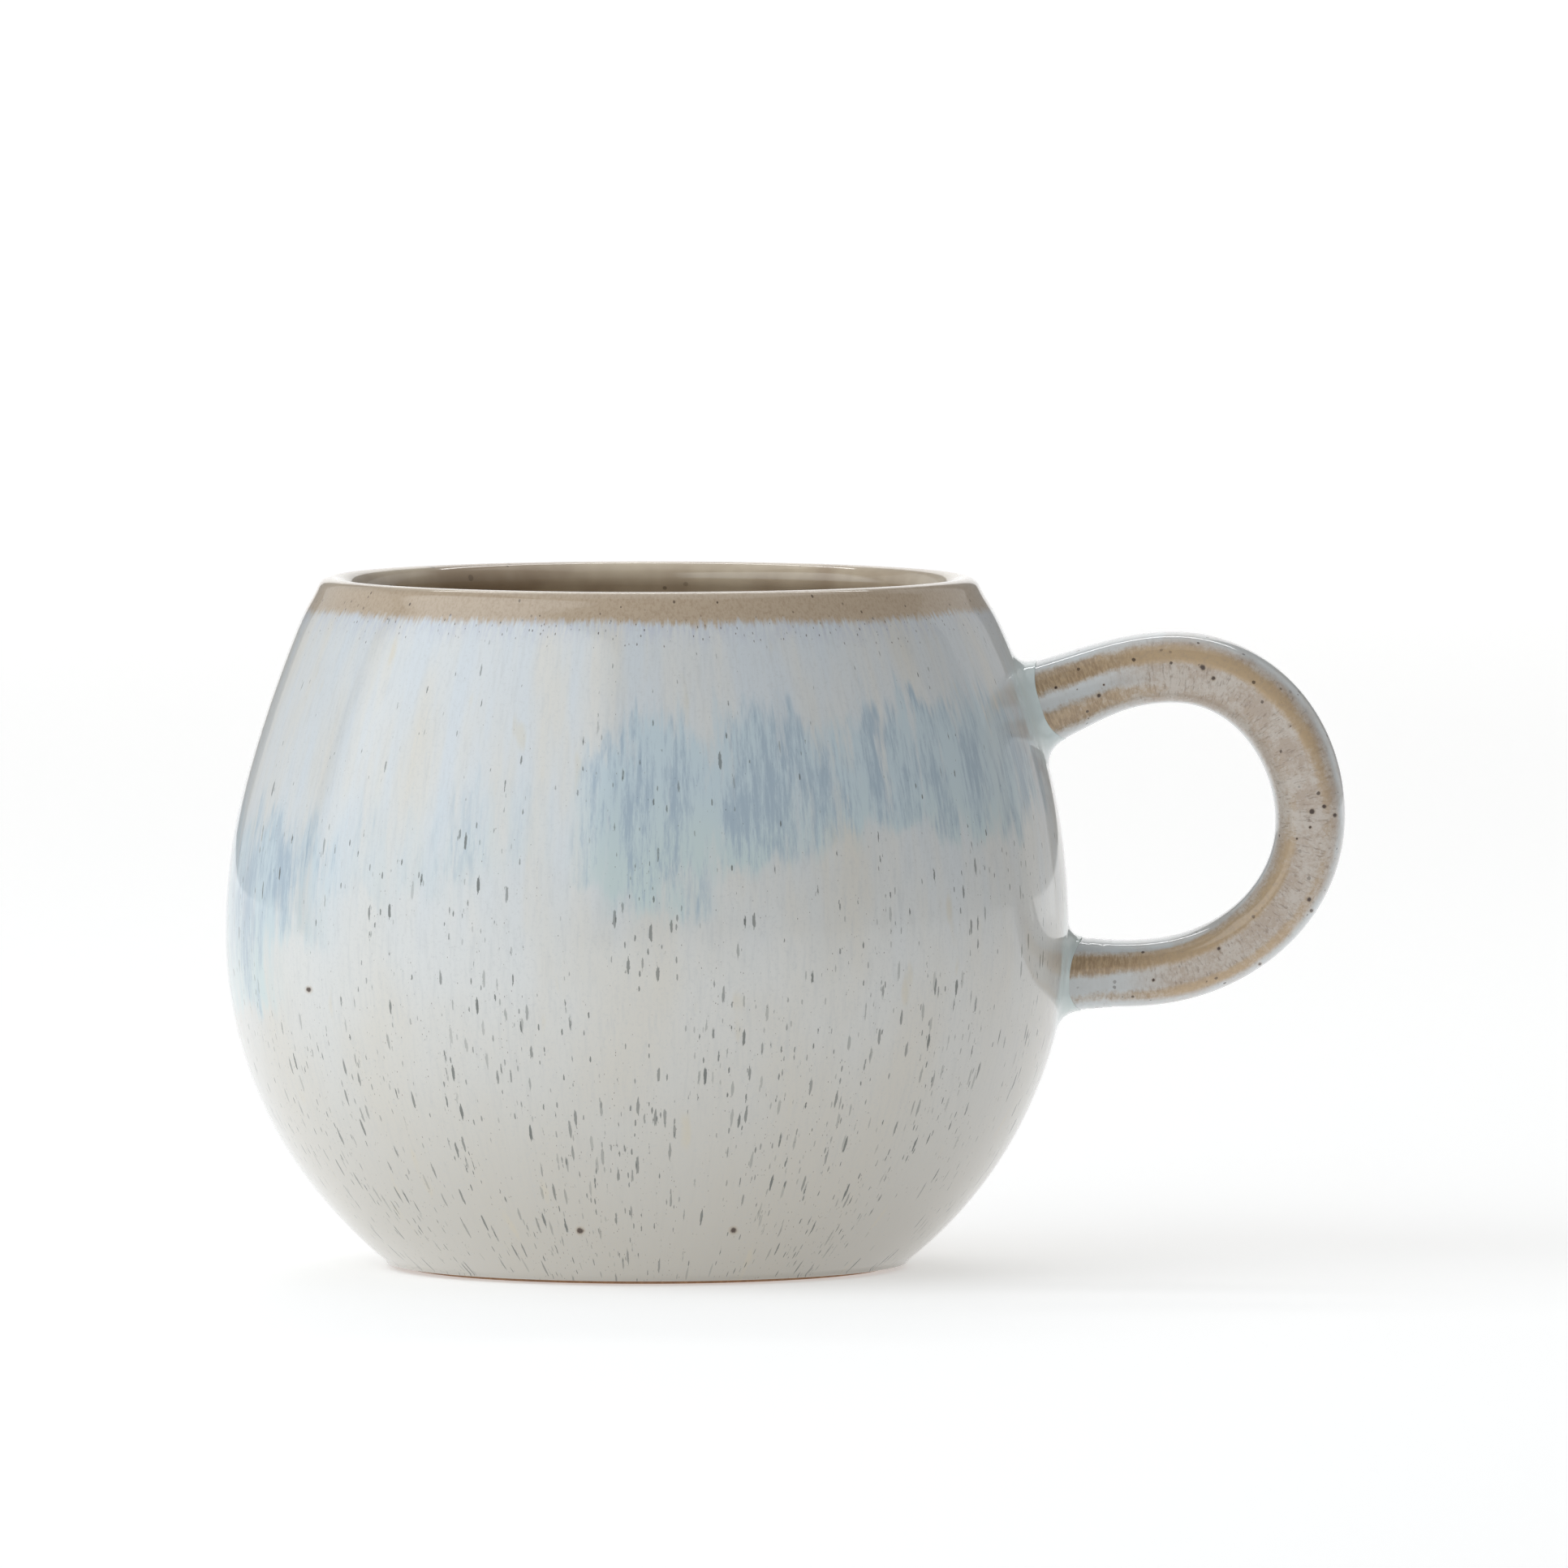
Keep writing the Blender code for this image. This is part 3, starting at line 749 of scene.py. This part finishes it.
class Finish:
    """One material, with its shader and the nodes that feed it."""

    def __init__(self, name):
        self.material = bpy.data.materials.new(name)
        self.material.use_nodes = True
        self.tree = self.material.node_tree
        self.shader = self.tree.nodes["Principled BSDF"]

    def link(self, value, socket):
        """Sets a socket to a plain value, or joins a flow to it."""
        if isinstance(value, Flow):
            self.tree.links.new(value.socket, socket)
        else:
            socket.default_value = value

    def add(self, kind, settings, sockets, output=0):
        """Adds a node of a kind, sets it up, fills its sockets and gives one output."""
        node = self.tree.nodes.new("ShaderNode" + kind)
        for name, value in settings.items():
            setattr(node, name, value)
        for name, value in sockets.items():
            self.link(value, node.inputs[name])
        return Flow(self, node.outputs[output])

    def fade(self, value, start, end):
        """0 at start, 1 at end, and a soft step between."""
        sockets = {"Value": value, "From Min": start, "From Max": end}
        return self.add("MapRange", {"interpolation_type": "SMOOTHSTEP"}, sockets)

    def cloud(self, place, scale, detail=2.0, roughness=0.5):
        """Soft noise between 0 and 1 at a place."""
        sockets = {"Vector": place, "Scale": scale, "Detail": detail, "Roughness": roughness}
        return self.add("TexNoise", {}, sockets)

    def blend(self, amount, first, second):
        """One colour turning into another."""
        return self.add("Mix", {"data_type": "RGBA"}, {0: amount, 6: first, 7: second}, 2)

    def feed(self, **sockets):
        """Fills sockets of the shader, with _ in a name for a space."""
        for name, value in sockets.items():
            self.link(value, self.shader.inputs[name.replace("_", " ")])

    def bump(self, height, strength, distance):
        """Small relief for the shader's normal."""
        sockets = {"Height": height, "Strength": strength, "Distance": distance}
        self.feed(Normal=self.add("Bump", {}, sockets))


def swatch(red, green, blue):
    """A colour as read from a swatch card, 0 to 255, turned into the light it reflects."""
    return (*(((part / 255 + 0.055) / 1.055)**2.4 for part in (red, green, blue)), 1.0)


print("a finish can now be written as plain sums")

# %% [markdown]
# ## Places on the mug
#
# Melted glaze runs straight down, so its patterns are stretched along the height and squeezed
# round the wall. Instead of unrolling the cup, which would leave a seam at its back, each point
# is pushed out to a cylinder, and noise is read there in millimetres. East is 1 on the handle's
# side and -1 opposite. Front is 1 on the side that faces the camera.

# %% Coordinates of a glaze
class Place:
    """Where a point is on the mug, in millimetres from the axis and from the table."""

    def __init__(self, finish):
        self.finish = finish
        self.point = finish.add("TexCoord", {}, {}, "Object")
        axes = finish.add("SeparateXYZ", {}, {"Vector": self.point})
        node = axes.socket.node
        self.x = (axes - AXIS_X) * (1 / MM)
        self.y = Flow(finish, node.outputs["Y"]) * (1 / MM)
        self.z = Flow(finish, node.outputs["Z"]) * (1 / MM)
        self.radius = (self.x * self.x + self.y * self.y)**0.5
        self.east = self.x / self.radius
        self.front = -1 * (self.y / self.radius)
        self.compass = finish.add("CombineXYZ", {}, {"X": self.east, "Y": self.front})

    def wall(self, stretch=1.0):
        """The point pushed out to a cylinder, with its height squeezed so that patterns run down."""
        sockets = {"X": self.east * (BELLY_RADIUS / MM), "Y": self.front * (BELLY_RADIUS / MM),
                   "Z": self.z * (1 / stretch)}
        return self.finish.add("CombineXYZ", {}, sockets)

    def facing(self, degrees):
        """1 where the wall faces a direction, counted from the front towards the handle."""
        turn = math.radians(degrees)
        sockets = {0: self.compass, 1: (math.sin(turn), math.cos(turn), 0)}
        return self.finish.add("VectorMath", {"operation": "DOT_PRODUCT"}, sockets, "Value")


# %% [markdown]
# ## The white glaze
#
# The cup was dipped in a milky glaze over speckled stoneware. Four things happen in the kiln, and
# each has a function of its own. At the lip the glaze runs thin and burns tan. A second dip of
# blue melts into a garland of fine streaks. Iron in the clay bleeds through as specks, which the
# flow draws out into short dashes. And where the glaze pools it turns a watery green.

# %% Colours of the glazes
MILK = swatch(214, 215, 213)
WARM_MILK = swatch(211, 208, 200)
COOL_MILK = swatch(203, 212, 220)
# Painted shade for the lower wall, not a colour of the glaze itself.
SHADED_BOTTOM_MILK = swatch(186, 181, 171)
THREAD_GREY = swatch(188, 192, 194)
GRAIN_GREY = swatch(184, 187, 188)
OCHRE = swatch(206, 194, 166)
TAN = swatch(187, 169, 147)
DARK_TAN = swatch(173, 153, 130)
LAVENDER = swatch(188, 193, 206)
WATER_BLUE = swatch(192, 207, 214)
WATER_GREEN = swatch(194, 208, 208)
SLATE = swatch(158, 175, 190)
DASH = swatch(92, 96, 93)
IRON = swatch(66, 48, 36)
POOL = swatch(213, 228, 229)
LINER_GREY = swatch(211, 196, 172)
CLAY = swatch(150, 116, 88)
LIGHT_CLAY = swatch(176, 142, 110)
SCORCHED_CLAY = swatch(128, 94, 70)


# %% Specks
def specks(finish, place, scale, share, size, irregular=0.0):
    """Dots scattered in a glaze: how many of the cells have one, and how big they grow."""
    cells = {"Vector": place, "Scale": scale, "Randomness": 1.0}
    distance = finish.add("TexVoronoi", {}, cells, "Distance")
    luck = Flow(finish, distance.socket.node.outputs["Color"])
    luck = finish.add("SeparateColor", {}, {"Color": luck})
    tone = Flow(finish, luck.socket.node.outputs["Green"])
    if irregular:
        distance = distance + (finish.cloud(place, scale * 5, 2, 0.7) - 0.5) * irregular
    grown = finish.fade(luck, 1 - share, 1.3 - share) * size
    return finish.fade(grown - distance, 0.0, 0.05) * (tone * 0.7 + 0.3)


# %% Tan lip and its lavender edge
def tan_lip(finish, place, colour):
    """Tan over the lip, with a feathered edge that turns lavender where milk starts."""
    ragged = finish.cloud(place.wall(4), 1.5, 4, 0.75)
    slow = finish.cloud(place.wall(), 0.06, 1)
    edge = place.z + (ragged - 0.5) * 2.8 + (slow - 0.5) * 1.4
    hair = finish.cloud(place.wall(5), 2.2, 2, 0.6)
    haze = finish.fade(edge, HEIGHT / MM - 7.0, HEIGHT / MM - 3.7)
    colour = finish.blend(haze * finish.fade(hair, 0.35, 0.70) * 0.7, colour, LAVENDER)
    grain = finish.cloud(place.wall(), 2.5, 4, 0.7)
    tan = finish.blend(finish.fade(grain, 0.40, 0.70), TAN, DARK_TAN)
    tan = finish.blend(specks(finish, place.wall(), 0.9, 0.45, 0.20) * 0.9, tan, IRON)
    colour = finish.blend(finish.fade(edge, HEIGHT / MM - 4.2, HEIGHT / MM - 3.1), colour, tan)
    fringe = finish.fade(edge, HEIGHT / MM - 8.5, HEIGHT / MM - 4.5)
    fringe = fringe * finish.fade(edge, HEIGHT / MM - 2.6, HEIGHT / MM - 3.6)
    dots = specks(finish, place.wall(1.6), 1.8, fringe * 0.75, 0.20, 0.20)
    return finish.blend(dots * 0.8, colour, IRON)


# %% Blue garland
# Direction in degrees from the front towards the handle, half width, strength, bottom and top
BLUE_TONGUES = (
    (-74, 18, 0.95, 31, 57), (-58, 14, 0.55, 40, 56), (-40, 22, 0.34, 46, 60),
    (-21, 12, 0.30, 50, 63), (-4, 8, 0.75, 47, 68), (2, 10, 0.80, 44, 69),
    (10, 13, 0.70, 50, 70), (20, 15, 0.65, 52, 69), (31, 15, 0.65, 55, 69),
    (42, 16, 0.85, 56, 70), (55, 17, 0.95, 53, 71), (68, 16, 0.75, 56, 71),
    (96, 18, 0.60, 58, 71), (122, 20, 1.00, 50, 69), (150, 20, 0.60, 46, 66),
    (178, 22, 0.90, 38, 62), (-150, 20, 0.50, 41, 60), (-124, 22, 1.00, 34, 58),
    (-99, 18, 0.60, 33, 57),
)


def blue_garland(finish, place, colour):
    """A band of melted blue streaks, lower on the side away from the handle."""
    broad = finish.cloud(place.wall(2), 0.16, 2)
    ragged = finish.cloud(place.wall(6), 0.60, 3, 0.65)
    level = place.z + (broad - 0.5) * 8 + (ragged - 0.5) * 7
    soft = place.z + (broad - 0.5) * 9 + (ragged - 0.5) * 15
    amount = 0.0
    for degrees, half, strength, bottom, top in BLUE_TONGUES:
        near = finish.fade(place.facing(degrees), math.cos(math.radians(half)), 1.0)
        tall = finish.fade(level, bottom - 1.0, bottom + 2.5) * finish.fade(soft, top + 3, top - 7)
        amount = near * tall * strength + amount
    streak = finish.cloud(place.wall(7), 0.50, 4, 0.65)
    amount = amount * (finish.fade(streak, 0.25, 0.65) * 0.75 + 0.25)
    high = finish.fade(level + finish.fade(place.east, -0.2, -1.0) * 15, 50, 62)
    water = finish.blend(high, WATER_GREEN, WATER_BLUE)
    colour = finish.blend(finish.fade(amount, 0.0, 0.9), colour, water)
    patch = finish.cloud(place.wall(3), 0.20, 3)
    hair = finish.cloud(place.wall(9), 1.8, 5, 0.8)
    thread = finish.fade(hair + (patch - 0.5) * 0.80 + high * 0.05, 0.46, 0.72)
    return finish.blend(thread * finish.fade(amount, 0.05, 0.70) * 0.80, colour, SLATE)


# %% Dashes and iron spots
WALL_SPOTS = ((-40.3, 35.4, 0.50), (-7.8, 7.0, 0.62), (10.5, 7.0, 0.60))
HANDLE_SPOTS = (
    (67.0, 72.7, 0.55), (68.3, 71.4, 0.42), (54.5, 69.3, 0.40), (55.1, 70.6, 0.22), (49.3, 70.3, 0.30),
    (80.2, 55.3, 0.55), (81.7, 55.9, 0.42), (83.0, 54.8, 0.42), (79.9, 44.6, 0.45), (80.0, 53.4, 0.30),
    (69.0, 38.7, 0.35), (74.0, 36.7, 0.33), (61.1, 34.9, 0.30), (80.2, 43.2, 0.35), (78.4, 52.0, 0.22),
)


def dashes(finish, place, colour):
    """Short dark dashes that run with the glaze, most of them on the lower half."""
    crowd = finish.fade(place.z, 80, 8) * 0.72 + 0.22
    cluster = finish.cloud(place.wall(2), 0.13, 2)
    crowd = crowd * (finish.fade(cluster, 0.28, 0.62) * 0.8 + 0.2)
    long = specks(finish, place.wall(5), 1.15, crowd, 0.26, 0.34)
    colour = finish.blend(long * 0.90, colour, DASH)
    short = specks(finish, place.wall(3.5), 1.8, crowd * 0.7 + 0.1, 0.23, 0.30)
    colour = finish.blend(short * 0.85, colour, DASH)
    mote = specks(finish, place.wall(2), 3.4, crowd * 0.5 + 0.1, 0.20, 0.10)
    return finish.blend(mote * 0.7, colour, IRON)


def iron_spots(finish, place, spots, colour):
    """Round brown spots on the front, at chosen places, where a grain of iron melted through."""
    flat = finish.add("CombineXYZ", {}, {"X": place.x, "Y": place.z})
    front = finish.fade(place.y, 0, -3)
    ragged = (finish.cloud(place.point, 2500, 2, 0.6) - 0.5) * 0.5
    for x, z, size in spots:
        away = finish.add("VectorMath", {"operation": "DISTANCE"}, {0: flat, 1: (x, z, 0)}, "Value")
        away = away + ragged * size
        halo = finish.fade(away, size * 1.25, size * 0.6) * front
        colour = finish.blend(halo * 0.45, colour, DARK_TAN)
        colour = finish.blend(finish.fade(away, size * 0.8, size * 0.35) * front, colour, IRON)
    return colour


# %% Pools round the handle's joints
# Distance out and height of each pool's middle, and its half width and half height, in mm
POOLS = ((46.5, 67.4, 10.0, 8.0), (50.0, 35.8, 8.8, 9.0))
RIM_OF_POOL = swatch(166, 158, 158)


def joint_pools(finish, place, colour):
    """Watery green where the glaze gathered round the handle's ends, and a grey ring below them."""
    cloud = finish.cloud(place.wall(), 0.30, 3, 0.6)
    for x, z, half_width, half_height in POOLS:
        across = place.y / half_width
        up = (place.z - z) / half_height
        near = (across * across + up * up)**0.5
        beside = finish.fade(place.x, 0, 30)
        rim = finish.fade(near + (cloud - 0.5) * 1.4, 2.05, 1.35) * finish.fade(up, 0.6, 0.0)
        rim = rim * finish.fade(cloud, 0.38, 0.58) * beside
        colour = finish.blend(rim * 0.42, colour, RIM_OF_POOL)
        pool = finish.fade(near + (cloud - 0.5) * 0.5, 1.35, 0.85) * beside
        colour = finish.blend(pool * 0.75, colour, POOL)
    return colour


# %% [markdown]
# ## Painting the pieces
#
# The wall's glaze and the two joint rings share one recipe, because the same glaze covers them.
# The shine is the shader's: a smooth clear coat over a slightly rougher body, and a very low
# relief, like the skin of an orange, that makes reflections waver.

# %% Wall glaze finish
def glossy(finish, place, colour):
    """The shine of a fired glaze, with its waver."""
    skin = finish.cloud(place.point, 620, 2, 0.5)
    soft = finish.cloud(place.point, 120, 1, 0.5)
    finish.feed(Base_Color=colour, Roughness=0.35, Specular_IOR_Level=0.2)
    finish.feed(Coat_Weight=1.0, Coat_Roughness=0.06)
    finish.bump(skin * 0.25 + soft, 0.35, 0.10 * MM)


def wall_finish():
    """Milk with its washes and threads, then everything that melts into it, from bottom to lip."""
    finish = Finish("milky_glaze")
    place = Place(finish)
    patch = finish.cloud(place.wall(2), 0.07, 3)
    milk = finish.blend(finish.fade(patch, 0.35, 0.70), MILK, WARM_MILK)
    wash = finish.cloud(place.wall(7), 0.22, 3)
    cool = finish.fade(wash, 0.32, 0.66) * finish.fade(place.z, 30, 60)
    milk = finish.blend(cool * 0.7, milk, COOL_MILK)
    thread = finish.cloud(place.wall(7), 1.6, 4, 0.7)
    milk = finish.blend(finish.fade(thread, 0.45, 0.75) * 0.35, milk, THREAD_GREY)
    # Painted shade: the milk turns darker and greyer towards the bottom of the cup.
    low = finish.fade(place.z + (patch - 0.5) * 10, 42, 0)
    milk = finish.blend(low * 0.85, milk, SHADED_BOTTOM_MILK)
    ochre = finish.fade(finish.cloud(place.wall(3), 0.30, 2), 0.66, 0.78)
    milk = finish.blend(ochre * 0.35, milk, OCHRE)
    grain = finish.cloud(place.point, 2400, 3, 0.75)
    milk = finish.blend(finish.fade(grain, 0.50, 0.72) * 0.30, milk, GRAIN_GREY)
    colour = blue_garland(finish, place, milk)
    colour = dashes(finish, place, colour)
    colour = iron_spots(finish, place, WALL_SPOTS, colour)
    colour = tan_lip(finish, place, colour)
    colour = joint_pools(finish, place, colour)
    glossy(finish, place, colour)
    return finish.material


wall_glaze = wall_finish()
outer_glaze.data.materials.append(wall_glaze)
upper_joint.data.materials.append(wall_glaze)
lower_joint.data.materials.append(wall_glaze)
print("the wall's glaze has", len(wall_glaze.node_tree.nodes), "nodes")

# %% [markdown]
# ## The liner's glaze
#
# Inside, the potter poured a plain brown-grey glaze. It has clouds instead of streaks, because
# nothing runs far on the inside of a bowl. Over the lip it takes the wall's own tan, read in the
# same places, so the line where both glazes meet can't be seen.

# %% Liner glaze finish
def liner_finish():
    """Cloudy grey-brown with specks, turning into the same tan as the wall over the lip."""
    finish = Finish("liner_glaze")
    place = Place(finish)
    cloud = finish.cloud(place.point, 55, 4, 0.6)
    colour = finish.blend(finish.fade(cloud, 0.40, 0.72), LINER_GREY, DARK_TAN)
    colour = finish.blend(specks(finish, place.point, 420, 0.30, 0.22) * 0.9, colour, IRON)
    outside = finish.fade(place.radius - 39, -0.6, 0.6)
    colour = finish.blend(outside, colour, tan_lip(finish, place, colour))
    glossy(finish, place, colour)
    return finish.material


liner_paint = liner_finish()
liner_glaze.data.materials.append(liner_paint)
under_glaze.data.materials.append(liner_paint)
print("the liner's glaze has", len(liner_paint.node_tree.nodes), "nodes")

# %% [markdown]
# ## The handle's glaze
#
# The same milk lies thinly on the handle, so more clay colour comes through. The numbers stored
# on its points say where the ridges are and how far along a place is. Tan follows the ridges,
# fine hairs run across the bend, and the glaze is paler between the ridges near both joints.

# %% Handle glaze finish
HANDLE_MILK = swatch(200, 191, 181)
HANDLE_ROSE = swatch(183, 167, 152)
HANDLE_TAN = swatch(191, 166, 133)
HANDLE_BROWN = swatch(160, 136, 108)
HANDLE_HAIR = swatch(146, 130, 116)
HANDLE_EDGE = swatch(205, 211, 214)


def handle_finish():
    """Milk that thinned to rose and tan on the ridges, with fine hairs across the bend."""
    finish = Finish("handle_glaze")
    place = Place(finish)
    along_it = finish.add("Attribute", {"attribute_name": "along"}, {}, "Fac")
    across_it = finish.add("Attribute", {"attribute_name": "across"}, {}, "Fac")
    ridge_at = finish.add("Attribute", {"attribute_name": "ridge"}, {}, "Fac")
    radial = finish.add("CombineXYZ", {}, {
        "X": along_it * (HANDLE_LENGTH / MM), "Y": across_it * 1.1, "Z": place.y * 0.25})
    hair = finish.cloud(radial, 3.2, 3, 0.65)
    mottle = finish.cloud(place.point, 1900, 4, 0.75)
    slow = finish.cloud(place.point, 230, 3, 0.6)
    ends = finish.fade(along_it, 0.20, 0.08) + finish.fade(along_it, 0.84, 0.94)
    rosy = finish.fade(mottle + (slow - 0.5) * 1.0, 0.32, 0.64)
    base = finish.blend(rosy, HANDLE_MILK, HANDLE_ROSE)
    base = finish.blend(ends * 0.8, base, HANDLE_EDGE)
    thin = ridge_at + (mottle - 0.5) * 0.7 + (slow - 0.5) * 0.9 + (hair - 0.5) * 0.4
    tan = finish.blend(finish.fade(mottle, 0.42, 0.70) * 0.7, HANDLE_TAN, DARK_TAN)
    tan = finish.blend(ends * finish.fade(hair, 0.35, 0.65), tan, HANDLE_BROWN)
    colour = finish.blend(finish.fade(thin, 0.20, 0.85), base, tan)
    dark_hair = finish.fade(hair, 0.52, 0.70) * finish.fade(thin, 0.95, 0.35)
    colour = finish.blend(dark_hair * (1 - ends) * 0.70, colour, HANDLE_HAIR)
    low_end = finish.fade(along_it, 0.66, 0.88) * 0.22
    edge = finish.fade(across_it, 0.68, 0.88) + finish.fade(across_it - low_end, -0.88, -0.97)
    edge = edge * (finish.fade(slow, 0.60, 0.38) * 0.30 + 0.58)
    colour = finish.blend(edge, colour, HANDLE_EDGE)
    spots = specks(finish, place.point, 900, 0.35, 0.24, 0.2)
    colour = finish.blend(spots * 0.9, colour, IRON)
    colour = iron_spots(finish, place, HANDLE_SPOTS, colour)
    glossy(finish, place, colour)
    return finish.material


handle_paint = handle_finish()
handle_glaze.data.materials.append(handle_paint)
print("the handle's glaze has", len(handle_paint.node_tree.nodes), "nodes")

# %% [markdown]
# ## Bare clay, window and floor
#
# Unglazed stoneware is rough and grainy and has no shine. The window and the floor aren't part
# of the mug. The window glows less towards its edges, so its reflection has no hard outline, and
# the floor glows a little by itself, which keeps shadows on it as pale as in a white studio.

# %% Bare clay finish
def clay_finish():
    """Grainy brown stoneware, scorched in places."""
    finish = Finish("bare_clay")
    place = Place(finish)
    grain = finish.cloud(place.point, 1500, 5, 0.7)
    cloud = finish.cloud(place.point, 90, 3, 0.5)
    colour = finish.blend(finish.fade(grain, 0.35, 0.7), CLAY, LIGHT_CLAY)
    colour = finish.blend(finish.fade(cloud, 0.55, 0.75) * 0.4, colour, SCORCHED_CLAY)
    finish.feed(Base_Color=colour, Roughness=0.85)
    finish.bump(grain, 0.5, 0.15 * MM)
    return finish.material


clay_paint = clay_finish()
clay_cup.data.materials.append(clay_paint)
clay_strap.data.materials.append(clay_paint)
print("bare clay has", len(clay_paint.node_tree.nodes), "nodes")

# %% Window and floor finish
def window_glow():
    """Light from the card, strongest in its middle and fading towards its edges."""
    finish = Finish("window_glow")
    spot = finish.add("TexCoord", {}, {}, "Object")
    axes = finish.add("SeparateXYZ", {}, {"Vector": spot})
    sideways = axes.maths("ABSOLUTE", axes)
    up = Flow(finish, axes.socket.node.outputs["Y"])
    glow = finish.fade(sideways, WINDOW_HALF[0], WINDOW_HALF[0] * 0.62)
    glow = glow * finish.fade(up, WINDOW_HALF[1], WINDOW_HALF[1] * 0.6)
    glow = glow * (finish.fade(up, -WINDOW_HALF[1], -WINDOW_HALF[1] * 0.3) * 0.4 + 0.6)
    sockets = {"Color": (0.93, 0.97, 1.0, 1), "Strength": glow * WINDOW_STRENGTH}
    light = finish.add("Emission", {}, sockets)
    output = finish.tree.nodes["Material Output"]
    finish.tree.links.new(light.socket, output.inputs["Surface"])
    return finish.material


window.data.materials.append(window_glow())

floor_finish = Finish("pale_floor")
floor_finish.feed(Base_Color=(0.78, 0.78, 0.78, 1), Roughness=0.9)
floor_finish.feed(Emission_Color=(1, 1, 1, 1), Emission_Strength=0.43)
floor.data.materials.append(floor_finish.material)
print("a soft window and a pale floor")

# %% [markdown]
# ## Joining the design
#
# Each piece stands for one solid of the design and moves with its only body. The slot says which
# finish of the record it takes.

# %% Pieces, solids and slots
PIECES = (
    (clay_cup, "cup_body", "clay"), (clay_strap, "handle", "clay"),
    (outer_glaze, "outer_glaze", "outer_glaze"), (handle_glaze, "handle_glaze", "outer_glaze"),
    (liner_glaze, "liner_glaze", "liner_glaze"), (under_glaze, "underside_glaze", "liner_glaze"),
    (upper_joint, "upper_handle_joint", "pooled_glaze"),
    (lower_joint, "lower_handle_joint", "pooled_glaze"),
)
for piece, solid, slot in PIECES:
    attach(piece, "root")
    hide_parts(solid)
